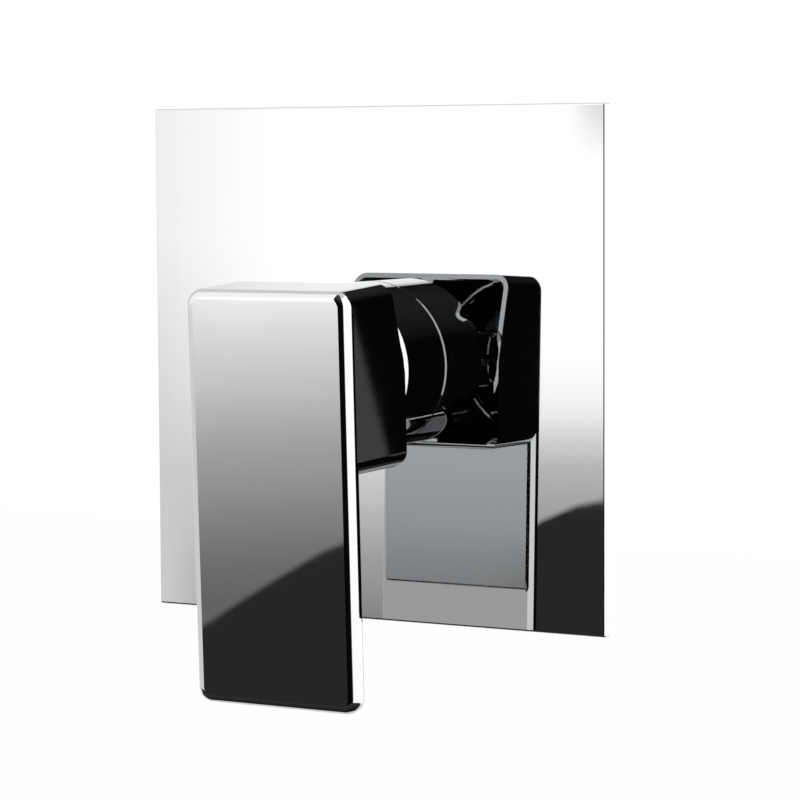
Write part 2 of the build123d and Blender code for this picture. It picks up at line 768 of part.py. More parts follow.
# Cap that closes the balance unit, with a hexagon key socket
with BuildPart() as balance_cap:
    with BuildSketch(front(sleeve_rear)):
        Circle(balance_cap_dia / 2)
    extrude(amount=balance_cap_thickness)
    with BuildSketch(front(sleeve_rear)):
        RegularPolygon(radius=4.0, side_count=6, major_radius=False)
    extrude(amount=2.5, mode=Mode.SUBTRACT)
balance_cap.part.label = "balance_cap"
export_step(balance_cap.part, "parts/balance_cap.step")

# Rough body: barrel, threaded neck, four port stubs, two stop towers and four ears


def port_stub(direction, thread_turns):
    """A port's arm and threaded end, turned about its own axis from the body's centre."""
    face = Plane(origin=at(0, 0, port_depth), z_dir=direction)
    side_view = Plane(origin=face.origin, x_dir=face.x_dir, z_dir=-face.y_dir)
    outline = [
        (0, 0),
        (arm_dia / 2, 0),
        (arm_dia / 2, arm_reach - 2.0),
        (arm_dia / 2 - 1.2, arm_reach),
        (port_thread_dia / 2, arm_reach),
    ]
    for turn in range(thread_turns):
        start = port_reach - 1.6 - (thread_turns - turn) * thread_pitch
        outline.append((port_thread_dia / 2, start))
        outline.append((port_thread_dia / 2 - 0.8, start + thread_pitch / 2))
    outline += [
        (port_thread_dia / 2, port_reach - 1.6),
        (port_thread_dia / 2 - 0.9, port_reach),
        (0, port_reach),
    ]
    with BuildSketch(side_view) as profile:
        with BuildLine():
            Polyline(*outline, close=True)
        make_face()
    revolve(profile.sketch, axis=Axis(face.origin, face.z_dir))


with BuildPart() as valve_body:
    with BuildSketch(front(barrel_rear)):
        Circle(barrel_dia / 2)
    extrude(amount=barrel_front - barrel_rear)
    for direction in ((1, 0, 0), (-1, 0, 0), (0, 0, 1)):
        port_stub(direction, port_thread_turns)
    port_stub((0, 0, -1), 0)
    with BuildSketch(front(tower_rear)):
        with Locations((stop_x, 0), (-stop_x, 0)):
            Circle(tower_dia / 2)
    extrude(amount=tower_front - tower_rear)
    with BuildSketch(front(barrel_rear)):
        with PolarLocations(ear_radius / 2, 4, start_angle=45):
            SlotCenterToCenter(ear_radius, ear_dia)
    extrude(amount=ear_thickness)
    with BuildSketch(front(barrel_rear)):
        with PolarLocations(ear_radius, 4, start_angle=45):
            Circle(ear_hole / 2)
    extrude(amount=ear_thickness, mode=Mode.SUBTRACT)
    turned([
        (0, barrel_front - 1.0),
        (neck_thread_dia / 2 + 1.5, barrel_front - 1.0),
        (neck_thread_dia / 2 + 1.5, barrel_front + 1.5),
        (neck_thread_dia / 2, barrel_front + 3.0),
        (neck_thread_dia / 2, neck_front - 0.8),
        (neck_thread_dia / 2 - 0.8, neck_front),
        (0, neck_front),
    ])
    with BuildSketch(front(neck_front)):
        Circle(neck_bore / 2)
    extrude(amount=base_rear - neck_front, mode=Mode.SUBTRACT)
    with BuildSketch(front(base_rear)):
        Circle(bowl_dia / 2)
    extrude(amount=bowl_rear - base_rear, mode=Mode.SUBTRACT)
    # Outlet channels rise from just behind the cartridge to the shower and tub ports
    for side in (-1, 1):
        socket = at(0, side * (port_reach - socket_depth), port_depth)
        drilled(at(0, side * port_reach, port_depth), socket, socket_bore)
        drilled(socket, at(0, side * barrel_dia / 2, port_depth), channel_dia)
        drilled(
            at(0, side * (barrel_dia / 2 + 1.0), port_depth - 1.0),
            at(0, side * (bowl_dia / 2 - 2.0), base_rear - 3.5),
            outlet_bore,
        )
    # Inlet channels run through the stop seats to the sleeve's galleries
    for side, seal_front, seal_rear in (
        (-1, sleeve_seal_fronts[0], sleeve_seal_fronts[1]),
        (1, sleeve_seal_fronts[1], sleeve_seal_fronts[2]),
    ):
        socket = at(side * (port_reach - socket_depth), 0, port_depth)
        drilled(at(side * port_reach, 0, port_depth), socket, socket_bore)
        drilled(socket, at(side * (stop_x + stop_bore / 2 - 1.0), 0, port_depth), channel_dia)
        drilled(at(side * stop_x, 0, tower_front), at(side * stop_x, 0, stop_seat), stop_bore)
        seat_rear = at(side * stop_x, 0, stop_seat - seat_chamber)
        drilled(at(side * stop_x, 0, stop_seat), seat_rear, seat_bore)
        knee = at(side * (stop_x - knee_setback), 0, stop_seat - knee_drop)
        drilled(at(side * (stop_x + 2.0), 0, stop_seat - knee_drop - 0.5), knee, knee_bore)
        drilled(
            knee + Vector(side * 1.0, 0.8, 0),
            at(side * (bowl_dia / 2 - 1.0), 0, (seal_front + seal_rear) / 2),
            gallery_bore,
        )
valve_body.part.label = "valve_body"
export_step(valve_body.part, "parts/valve_body.step")

# Service stops, one on each inlet: bonnet, stem, washer holder and rubber washer
for side_name, side in (("hot", -1), ("cold", 1)):
    centre = (side * stop_x, 0)
    with BuildPart() as stop_bonnet:
        with BuildSketch(front(tower_front)):
            with Locations(centre):
                RegularPolygon(radius=bonnet_hex / 2, side_count=6, major_radius=False)
        extrude(amount=bonnet_head)
        with BuildSketch(front(tower_front)):
            with Locations(centre):
                Circle(stop_bore / 2 - push_fit)
        extrude(amount=-bonnet_thread)
        with BuildSketch(front(tower_front + bonnet_head)):
            with Locations(centre):
                Circle(stop_stem_dia / 2 + run_fit)
        extrude(amount=-bonnet_head - bonnet_thread, mode=Mode.SUBTRACT)
    stop_bonnet.part.label = f"{side_name}_stop_bonnet"
    export_step(stop_bonnet.part, f"parts/{side_name}_stop_bonnet.step")

    with BuildPart() as stop_stem:
        with BuildSketch(front(stop_stem_front)):
            with Locations(centre):
                Circle(stop_stem_dia / 2)
        extrude(amount=holder_front - stop_socket + air_gap - stop_stem_front)
        with BuildSketch(front(stop_stem_front)):
            with Locations(centre):
                Rectangle(1.2, stop_stem_dia)
        extrude(amount=-1.5, mode=Mode.SUBTRACT)
    stop_stem.part.label = f"{side_name}_stop_stem"
    export_step(stop_stem.part, f"parts/{side_name}_stop_stem.step")

    with BuildPart() as stop_holder:
        with BuildSketch(front(holder_front)):
            with Locations(centre):
                Circle(stop_holder_dia / 2)
                Circle(stop_stem_dia / 2 + run_fit, mode=Mode.SUBTRACT)
        extrude(amount=-stop_socket)
        with BuildSketch(front(holder_front - stop_socket)):
            with Locations(centre):
                Circle(stop_holder_dia / 2)
        extrude(amount=stop_socket - stop_holder_length)
    stop_holder.part.label = f"{side_name}_stop_holder"
    export_step(stop_holder.part, f"parts/{side_name}_stop_holder.step")

    with BuildPart() as washer:
        with BuildSketch(front(holder_rear)):
            with Locations(centre):
                Circle(stop_washer_dia / 2)
        extrude(amount=-stop_washer)
    washer.part.label = f"{side_name}_stop_washer"
    export_step(washer.part, f"parts/{side_name}_stop_washer.step")

# Hexagon cap on the unused tub port, with its fibre washer
with BuildPart() as tub_port_cap:
    with BuildSketch(Plane.XY.offset(-port_reach - cap_seal - cap_floor)):
        with Locations((0, y_at(port_depth))):
            RegularPolygon(radius=cap_hex / 2, side_count=6, major_radius=False)
    extrude(amount=cap_length)
    chamfer(tub_port_cap.faces().sort_by(Axis.Z)[0].edges(), 0.8)
    with BuildSketch(Plane.XY.offset(-port_reach - cap_seal)):
        with Locations((0, y_at(port_depth))):
            Circle(port_thread_dia / 2 + push_fit)
    extrude(amount=cap_length, mode=Mode.SUBTRACT)
tub_port_cap.part.label = "tub_port_cap"
export_step(tub_port_cap.part, "parts/tub_port_cap.step")

with BuildPart() as tub_cap_seal:
    with BuildSketch(Plane.XY.offset(-port_reach - cap_seal)):
        with Locations((0, y_at(port_depth))):
            Circle(port_thread_dia / 2)
            Circle(socket_bore / 2, mode=Mode.SUBTRACT)
    extrude(amount=cap_seal)
tub_cap_seal.part.label = "tub_cap_seal"
export_step(tub_cap_seal.part, "parts/tub_cap_seal.step")

print(f"lift slides the discs {disc_travel:.3f} mm, stop travel {washer_rear - stop_seat:.3f} mm")
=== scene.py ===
"""Looks for a pressure balance shower valve: square mirror trim with a slab lever over a brass rough body.

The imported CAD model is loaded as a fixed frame. This script dresses it in procedural finishes and sets a
plain studio round it.
"""
import math

import bpy
import numpy as np
from mathutils import Matrix, Vector


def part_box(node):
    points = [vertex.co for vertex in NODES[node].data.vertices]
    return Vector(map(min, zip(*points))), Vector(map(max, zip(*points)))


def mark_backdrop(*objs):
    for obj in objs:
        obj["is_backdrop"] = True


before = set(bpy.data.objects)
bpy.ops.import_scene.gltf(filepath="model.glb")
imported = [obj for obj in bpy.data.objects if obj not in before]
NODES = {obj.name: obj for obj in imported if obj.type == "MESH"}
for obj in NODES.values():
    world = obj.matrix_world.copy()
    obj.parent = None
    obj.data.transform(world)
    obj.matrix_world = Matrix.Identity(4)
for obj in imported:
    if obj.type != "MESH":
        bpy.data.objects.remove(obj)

bl_info = {
    "name": "Pressure balance shower valve dressing",
    "version": (1, 0, 0),
    "blender": (4, 5, 0),
    "location": "View3D > Sidebar > Valve",
    "description": "Finishes and studio for a square single-lever shower valve",
    "category": "Object",
}

MM = 0.001
WHITE = (1, 1, 1, 1)
PLATE_FRONT = -58.5 * MM
# The studio panels hang round this point in front of the plate
PANEL_CENTRE = (0, -90 * MM, 0)
PANEL_GRID = 49

# Emission of the white scrim, by degrees of elevation, from the charcoal table's rim up to full white
SCRIM_TONES = ((-13.1, 0.265), (-12.3, 0.33), (-11.5, 0.41), (-10.6, 0.52), (-9.7, 0.61),
               (-8.8, 0.76), (-8.0, 0.92), (-7.1, 1.08), (-6.2, 1.26), (-5.0, 1.58))
# Where the table's rim stands, as azimuth and degrees below the horizon
TABLE_RIM = ((-33.5, 14.68), (-32.2, 13.95), (-31.1, 13.36), (-29.9, 12.75), (-29.3, 12.55),
             (-28.0, 11.3), (-26.5, 9.7), (-25.2, 8.63), (-24.1, 8.16), (-23.3, 8.01))
TABLE_TONE = 0.033


def linear(hex_code, alpha=1.0):
    """Turn an sRGB hex value such as "C8A15A" into the linear colour that a socket takes."""
    parts = [int(hex_code[i:i + 2], 16) / 255 for i in (0, 2, 4)]
    return tuple(c / 12.92 if c <= 0.04045 else ((c + 0.055) / 1.055) ** 2.4 for c in parts) + (alpha,)


def per_mm(size):
    """Texture scale on coordinates in metres that gives features of this size in millimetres."""
    return 1000.0 / size


def add(tree, kind, values=None, **settings):
    """Add a node, set its settings, then fill its inputs: a socket is linked, anything else is a value."""
    node = tree.nodes.new(kind)
    for name, value in settings.items():
        setattr(node, name, value)
    for key, value in (values or {}).items():
        if isinstance(value, bpy.types.NodeSocket):
            tree.links.new(value, node.inputs[key])
        else:
            node.inputs[key].default_value = value
    return node


def material(name, **values):
    """A new material with a Principled shader whose constants are set on its own sockets."""
    made = bpy.data.materials.new(name)
    made.use_nodes = True
    tree = made.node_tree
    tree.nodes.clear()
    shader = add(tree, "ShaderNodeBsdfPrincipled", values)
    add(tree, "ShaderNodeOutputMaterial", {"Surface": shader.outputs["BSDF"]})
    place = add(tree, "ShaderNodeTexCoord").outputs["Object"]
    return made, tree, shader, place


def noise(tree, place, size, detail=3.0, stretch=(1, 1, 1), rough=0.5):
    """Noise whose features are this many millimetres across, longer along an axis with a stretch over 1."""
    scale = [per_mm(size) / s for s in stretch]
    moved = add(tree, "ShaderNodeMapping", {"Vector": place, "Scale": scale}).outputs["Vector"]
    return add(tree, "ShaderNodeTexNoise", {
        "Vector": moved, "Scale": 1.0, "Detail": detail, "Roughness": rough}).outputs["Fac"]


def spread(tree, value, low, high, start=0.3, end=0.7, clamp=True):
    """Map a value between start and end onto low to high."""
    return add(tree, "ShaderNodeMapRange", {
        "Value": value, "From Min": start, "From Max": end, "To Min": low, "To Max": high},
        clamp=clamp).outputs["Result"]


def maths(tree, operation, *values):
    """The result of a Math node on these values, which are taken in order."""
    return add(tree, "ShaderNodeMath", dict(enumerate(values)), operation=operation).outputs["Value"]


def mix_colour(tree, factor, first, second):
    """The colour sockets of the Mix node share their names with others, so they are taken by place."""
    node = add(tree, "ShaderNodeMix", data_type="RGBA")
    for place, value in ((0, factor), (6, first), (7, second)):
        if isinstance(value, bpy.types.NodeSocket):
            tree.links.new(value, node.inputs[place])
        else:
            node.inputs[place].default_value = value
    return node.outputs[2]


def blend(tree, share, first, second):
    """A number that runs from the first value to the second as the share goes from 0 to 1."""
    return add(tree, "ShaderNodeMix", {0: share, 2: first, 3: second}).outputs[0]


def dress(made, *names):
    """Give CAD nodes this material."""
    for name in names:
        node = NODES[name]
        node.data.materials.clear()
        node.data.materials.append(made)


def chrome_plate(tone, haze, streak):
    """Polished chrome plate on sheet, brass or zinc: a dark-bodied mirror that gives back a little over
    half of the light, with a faint haze from wiping and hairlines from polishing that run up and down."""
    made, tree, shader, place = material("polished chrome plate", Metallic=1.0)
    smear = noise(tree, place, 24.0, 4.0)
    hairline = noise(tree, place, 0.5, 2.0, stretch=(1, 1, 160))
    worn = maths(tree, "MULTIPLY", smear, spread(tree, hairline, 0.8, 1.25))
    rough = spread(tree, worn, haze * 0.5, haze * 1.6, 0.3, 0.75)
    lit = mix_colour(tree, spread(tree, hairline, 0.0, streak), tone, linear("A9ABAD"))
    ripple = noise(tree, place, 14.0, 1.0)
    bump = add(tree, "ShaderNodeBump", {"Height": ripple, "Strength": 0.02, "Distance": 0.05 * MM})
    tree.links.new(lit, shader.inputs["Base Color"])
    tree.links.new(rough, shader.inputs["Roughness"])
    tree.links.new(bump.outputs["Normal"], shader.inputs["Normal"])
    return made


def plain_finish(name, low, high, patch, rough, grain, depth, **values):
    """A moulded or die-cast finish: a colour that drifts between two tones in patches of so many
    millimetres, with a surface grain of a size and depth in millimetres."""
    made, tree, shader, place = material(name, **values)
    drift = noise(tree, place, patch, 4.0)
    fine = noise(tree, place, grain, 2.0)
    tree.links.new(mix_colour(tree, spread(tree, drift, 0, 1), linear(low), linear(high)),
                   shader.inputs["Base Color"])
    tree.links.new(spread(tree, drift, rough[0], rough[1]), shader.inputs["Roughness"])
    bump = add(tree, "ShaderNodeBump", {"Height": fine, "Strength": 0.6, "Distance": depth * MM})
    tree.links.new(bump.outputs["Normal"], shader.inputs["Normal"])
    return made


def lathe_marks(tree, place, pitch, axis, centre):
    """Feed marks of a lathe: bands along the turning axis on the round walls plus rings about it on the
    faces, at a pitch in millimetres. 0.3 mm is drawn, because the real 0.1 mm is too fine to show."""
    moved = add(tree, "ShaderNodeMapping", {
        "Vector": place, "Location": [-c for c in centre]}).outputs["Vector"]
    # A Wave texture repeats every 2 pi over 20 times its scale
    waves = per_mm(pitch) * math.pi / 10
    bands = add(tree, "ShaderNodeTexWave", {
        "Vector": moved, "Scale": waves, "Distortion": 0.4, "Detail": 1.0},
        wave_type="BANDS", bands_direction=axis).outputs["Fac"]
    rings = add(tree, "ShaderNodeTexWave", {
        "Vector": moved, "Scale": waves, "Distortion": 0.4, "Detail": 1.0},
        wave_type="RINGS", rings_direction=axis).outputs["Fac"]
    return maths(tree, "MULTIPLY", bands, rings)


def turned_metal(name, low, high, rough, axis="Y", centre=(0, 0, 0)):
    """Metal from a lathe: bright, with fine feed marks and the faint stains of coolant and handling."""
    made, tree, shader, place = material(name, Metallic=1.0)
    marks = lathe_marks(tree, place, 0.3, axis, centre)
    stain = noise(tree, place, 9.0, 5.0, rough=0.65)
    tree.links.new(mix_colour(tree, spread(tree, stain, 0, 1), linear(low), linear(high)),
                   shader.inputs["Base Color"])
    tree.links.new(spread(tree, stain, rough + 0.12, rough - 0.06), shader.inputs["Roughness"])
    bump = add(tree, "ShaderNodeBump", {"Height": marks, "Strength": 0.5, "Distance": 0.02 * MM})
    tree.links.new(bump.outputs["Normal"], shader.inputs["Normal"])
    return made


def sand_cast_brass(low, high, cut_from, neck_from):
    """Sand-cast brass, tumbled: a matt tan skin with a grain of about 0.6 mm, browner in its hollows.
    Past "cut_from" along the ports and in front of "neck_from" the skin is machined away, so there it
    is yellower, smoother and ringed by the tool."""
    made, tree, shader, place = material("sand-cast brass", Metallic=1.0)
    skin = noise(tree, place, 0.6, 4.0, rough=0.6)
    blotch = noise(tree, place, 12.0, 5.0, rough=0.6)
    marks = lathe_marks(tree, place, 0.4, "Y", (0, 0, 0))
    axes = add(tree, "ShaderNodeSeparateXYZ", {"Vector": place}).outputs
    farther = maths(tree, "MAXIMUM", *(maths(tree, "ABSOLUTE", axes[axis]) for axis in ("X", "Z")))
    port = spread(tree, farther, 0, 1, cut_from - 0.1 * MM, cut_from + 0.1 * MM)
    neck = spread(tree, axes["Y"], 1, 0, neck_from - 0.1 * MM, neck_from + 0.1 * MM)
    cut = maths(tree, "MAXIMUM", port, neck)
    cast = mix_colour(tree, spread(tree, blotch, 0, 1), linear(low), linear(high))
    pitted = mix_colour(tree, spread(tree, skin, 0.55, 0.0, 0.25, 0.5), cast, linear("6E5530"))
    tree.links.new(mix_colour(tree, cut, pitted, linear("D9B86A")), shader.inputs["Base Color"])
    rough_skin = spread(tree, skin, 0.62, 0.42)
    tree.links.new(blend(tree, cut, rough_skin, 0.24), shader.inputs["Roughness"])
    height = blend(tree, cut, skin, marks)
    edge = add(tree, "ShaderNodeBevel", {"Radius": 0.9 * MM}, samples=4).outputs["Normal"]
    depth = blend(tree, cut, 0.12 * MM, 0.02 * MM)
    bump = add(tree, "ShaderNodeBump", {
        "Height": height, "Strength": 0.8, "Distance": depth, "Normal": edge})
    tree.links.new(bump.outputs["Normal"], shader.inputs["Normal"])
    return made


def shown_to_eye_and_mirror(tree):
    """1 for camera, glossy and transmission rays, 0 for the rays that light matt surfaces."""
    path = add(tree, "ShaderNodeLightPath").outputs
    first = maths(tree, "MAXIMUM", path["Is Camera Ray"], path["Is Glossy Ray"])
    return maths(tree, "MAXIMUM", first, path["Is Transmission Ray"])


def new_mesh(name, corners, faces, uv=None):
    """Put worked-out points and faces into a mesh object."""
    mesh = bpy.data.meshes.new(name)
    mesh.from_pydata(corners.tolist(), [], faces.tolist())
    if uv is not None:
        layer = mesh.uv_layers.new(name="UVMap")
        index = np.empty(len(mesh.loops), np.int32)
        mesh.loops.foreach_get("vertex_index", index)
        layer.data.foreach_set("uv", uv[index].astype(np.float32).ravel())
    mesh.polygons.foreach_set("use_smooth", np.ones(len(mesh.polygons), bool))
    made = bpy.data.objects.new(name, mesh)
    bpy.context.scene.collection.objects.link(made)
    return made


def grid_faces(rows, columns):
    """Quads over a grid of rows by columns points, turned towards the side the rows cross columns give."""
    index = np.arange(rows * columns).reshape(rows, columns)
    return np.stack([index[:-1, :-1], index[:-1, 1:], index[1:, 1:], index[1:, :-1]], -1).reshape(-1, 4)


def studio_panel(name, turns, heights, radius, paint):
    """A studio panel: a patch of a sphere round the object, between two azimuths and two elevations in
    degrees. Azimuth 0 is straight in front and positive to the right. Its UV is those two angles over
    100, so its paint is laid out in degrees. Only mirrors see it."""
    turn, height = np.meshgrid(np.radians(np.linspace(*turns, PANEL_GRID)),
                               np.radians(np.linspace(*heights, PANEL_GRID)))
    away = np.stack([np.sin(turn) * np.cos(height), -np.cos(turn) * np.cos(height), np.sin(height)], -1)
    corners = (away * radius + np.array(PANEL_CENTRE)).reshape(-1, 3)
    uv = np.degrees(np.stack([turn, height], -1)).reshape(-1, 2) / 100 + 0.5
    made = new_mesh(name, corners, grid_faces(PANEL_GRID, PANEL_GRID), uv)
    made.data.materials.append(paint)
    made.visible_camera = False
    made.visible_diffuse = False
    made.visible_shadow = False
    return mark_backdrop(made)


def light_paint(name, strength_of):
    """Panel paint that glows by a strength worked out from the azimuth and elevation in degrees/100."""
    made = bpy.data.materials.new(name)
    made.use_nodes = True
    tree = made.node_tree
    tree.nodes.clear()
    angles = add(tree, "ShaderNodeSeparateXYZ", {
        "Vector": add(tree, "ShaderNodeUVMap").outputs["UV"]}).outputs
    turn = maths(tree, "SUBTRACT", angles["X"], 0.5)
    height = maths(tree, "SUBTRACT", angles["Y"], 0.5)
    strength = strength_of(tree, turn, height)
    glow = add(tree, "ShaderNodeEmission", {"Color": WHITE, "Strength": strength})
    add(tree, "ShaderNodeOutputMaterial", {"Surface": glow.outputs["Emission"]})
    return made


def scrim_light(tree, turn, height):
    """A white scrim that shades off downwards to a charcoal table with a slanted rim that bends. It stays
    lighter towards its left end, and its right end and top corner are dimmer."""
    # A ramp holds tones up to 1 and the scrim glows at up to 1.85, so they are halved and doubled again
    foot, head = -16, 4
    ramp = add(tree, "ShaderNodeValToRGB", {"Fac": spread(tree, height, 0, 1, foot / 100, head / 100)})
    stops = ramp.color_ramp.elements
    stops[0].position, stops[0].color = 0.10, (0.11, 0.11, 0.11, 1)
    stops[1].position, stops[1].color = 0.65, (0.925, 0.925, 0.925, 1)
    for down, tone in SCRIM_TONES:
        stops.new((down - foot) / (head - foot)).color = (tone / 2, tone / 2, tone / 2, 1)
    shade = maths(tree, "MULTIPLY", ramp.outputs["Color"], 2.0)
    # The rim's depth below the horizon is a ramp over azimuth, where 1 stands for the deepest drop
    begin, end, deepest = -36, -22, 20
    rim = add(tree, "ShaderNodeValToRGB", {"Fac": spread(tree, turn, 0, 1, begin / 100, end / 100)})
    stops = rim.color_ramp.elements
    stops[0].position, stops[0].color = 0.0, (0.79, 0.79, 0.79, 1)
    stops[1].position, stops[1].color = 1.0, (0.395, 0.395, 0.395, 1)
    for turned, down in TABLE_RIM:
        drop = down / deepest
        stops.new((turned - begin) / (end - begin)).color = (drop, drop, drop, 1)
    above = maths(tree, "MULTIPLY_ADD", rim.outputs["Color"], deepest / 100, height)
    start = spread(tree, height, -0.343, -0.325, -0.10, -0.07)
    left_share = spread(tree, turn, 0, 1, start, -0.367)
    left = spread(tree, height, 1.04, 1.53, -0.07, 0.0)
    strip = maths(tree, "MULTIPLY", spread(tree, turn, 0, 0.26, -0.285, -0.265),
                  spread(tree, height, 1, 0, -0.071, -0.055))
    corner = maths(tree, "MULTIPLY", spread(tree, turn, 0, 0.36, -0.246, -0.235),
                   spread(tree, height, 0, 1, 0.02, 0.042))
    kept = maths(tree, "SUBTRACT", 1.0, maths(tree, "ADD", strip, corner))
    lit = blend(tree, left_share, maths(tree, "MULTIPLY", shade, kept), left)
    table = maths(tree, "MULTIPLY", spread(tree, above, 1, 0, -0.001, 0.001),
                  spread(tree, turn, 0, 1, -0.352, -0.346))
    table = maths(tree, "MAXIMUM", table, spread(tree, height, 1, 0, -0.21, -0.19))
    return blend(tree, table, lit, TABLE_TONE)


def cloth_light(tree, turn, height):
    """Black cloth, dark grey past a slanted line on its right and lighter towards its top."""
    line = maths(tree, "MULTIPLY_ADD", height, 0.25, 0.359)
    right = spread(tree, maths(tree, "SUBTRACT", turn, line), 0, 0.14, -0.001, 0.001)
    top = spread(tree, height, 0.004, 0.09, 0.15, 0.6)
    return maths(tree, "MAXIMUM", right, top)


def low_light(tree, turn, height):
    """Black cloth under the valve, a little lighter towards its front edge."""
    return spread(tree, height, 0.004, 0.05, -0.8, -0.33)


def side_light(tree, turn, height):
    """A white panel, a little less lit towards its foot."""
    return spread(tree, height, 1.6, 1.85, -0.3, 0.0)


class TrimFinish(bpy.types.PropertyGroup):
    """Finish of the parts in front of the wall."""
    tone: bpy.props.FloatVectorProperty(
        name="Chrome tone", description="Body colour of the chrome plate", subtype="COLOR", size=4,
        min=0.0, max=1.0, default=linear("C6C7C8"))
    haze: bpy.props.FloatProperty(
        name="Haze", description="Mean roughness of the mirror", default=0.018, min=0.0, max=0.5,
        subtype="FACTOR")
    streak: bpy.props.FloatProperty(
        name="Polishing lines", description="How strongly the hairlines tint the mirror", default=0.05,
        min=0.0, max=1.0, subtype="FACTOR")


class BodyFinish(bpy.types.PropertyGroup):
    """Finish of the rough body in the wall."""
    cast_low: bpy.props.StringProperty(
        name="Cast skin, dull", description="sRGB hex of the darker cast skin", default="A27E48")
    cast_high: bpy.props.StringProperty(
        name="Cast skin, clean", description="sRGB hex of the lighter cast skin", default="C6A263")
    machined_from: bpy.props.FloatProperty(
        name="Machined from", description="Distance from the valve axis past which the ports are cut",
        default=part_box("tub_port_cap")[1][2] * -1 - 1.0 * MM, subtype="DISTANCE", unit="LENGTH")


class InnerFinish(bpy.types.PropertyGroup):
    """Finish of the cartridge, balance unit and seals."""
    acetal: bpy.props.StringProperty(
        name="White plastic", description="sRGB hex of the moulded acetal", default="E4E3DC")
    filled: bpy.props.StringProperty(
        name="Grey plastic", description="sRGB hex of the glass-filled plastic", default="4A4C50")
    rubber: bpy.props.StringProperty(
        name="Rubber", description="sRGB hex of the seals", default="1B1B1C")


class StageSetting(bpy.types.PropertyGroup):
    """Camera and studio."""
    azimuth: bpy.props.FloatProperty(
        name="Azimuth", description="Camera's turn to the right of straight ahead",
        default=math.radians(29.28), subtype="ANGLE", unit="ROTATION")
    elevation: bpy.props.FloatProperty(
        name="Elevation", description="Camera's height as an angle", default=math.radians(4.47),
        subtype="ANGLE", unit="ROTATION")
    roll: bpy.props.FloatProperty(
        name="Roll", description="Camera's turn about its own axis", default=math.radians(-0.29),
        subtype="ANGLE", unit="ROTATION")
    distance: bpy.props.FloatProperty(
        name="Distance", description="Camera's distance from the front of the plate", default=0.98694,
        subtype="DISTANCE", unit="LENGTH")
    lens: bpy.props.FloatProperty(
        name="Lens", description="Focal length for a 36 mm wide sensor", default=138.618,
        subtype="DISTANCE_CAMERA")
    floor_drop: bpy.props.FloatProperty(
        name="Floor drop", description="Height of the valve's axis above the studio floor", default=0.9,
        subtype="DISTANCE", unit="LENGTH")


class VALVE_OT_trim(bpy.types.Operator):
    """Dress the plate, collar and lever in polished chrome"""
    bl_idname = "valve.trim"
    bl_label = "Trim"

    def execute(self, context):
        look = context.scene.valve_trim
        chrome = chrome_plate(tuple(look.tone), look.haze, look.streak)
        dress(chrome, "trim_plate", "collar", "handle", "set_screw_plug")
        return {"FINISHED"}


class VALVE_OT_body(bpy.types.Operator):
    """Dress the rough body, its stops, nut and cap in cast and turned brass"""
    bl_idname = "valve.body"
    bl_label = "Rough body"

    def execute(self, context):
        look = context.scene.valve_body
        neck_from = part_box("retaining_nut")[1][1] + 4.0 * MM
        dress(sand_cast_brass(look.cast_low, look.cast_high, look.machined_from, neck_from), "valve_body")
        dress(turned_metal("turned brass, nut", "B9954C", "DDBE72", 0.26), "retaining_nut", "balance_cap")
        for side in ("hot", "cold"):
            low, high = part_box(side + "_stop_bonnet")
            centre = ((low[0] + high[0]) / 2, 0, (low[2] + high[2]) / 2)
            dress(turned_metal("turned brass, %s stop" % side, "B9954C", "DDBE72", 0.24, "Y", centre),
                  *("%s_stop_%s" % (side, piece) for piece in ("bonnet", "stem", "holder")))
        low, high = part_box("tub_port_cap")
        centre = (0, (low[1] + high[1]) / 2, 0)
        dress(turned_metal("turned brass, cap", "B9954C", "DDBE72", 0.24, "Z", centre), "tub_port_cap")
        # Vulcanised fibre: a dense red-brown paper board with a felt-like face
        dress(plain_finish("vulcanised fibre", "6B2A1C", "84382A", 3.0, (0.7, 0.85), 0.25, 0.03),
              "tub_cap_seal")
        return {"FINISHED"}


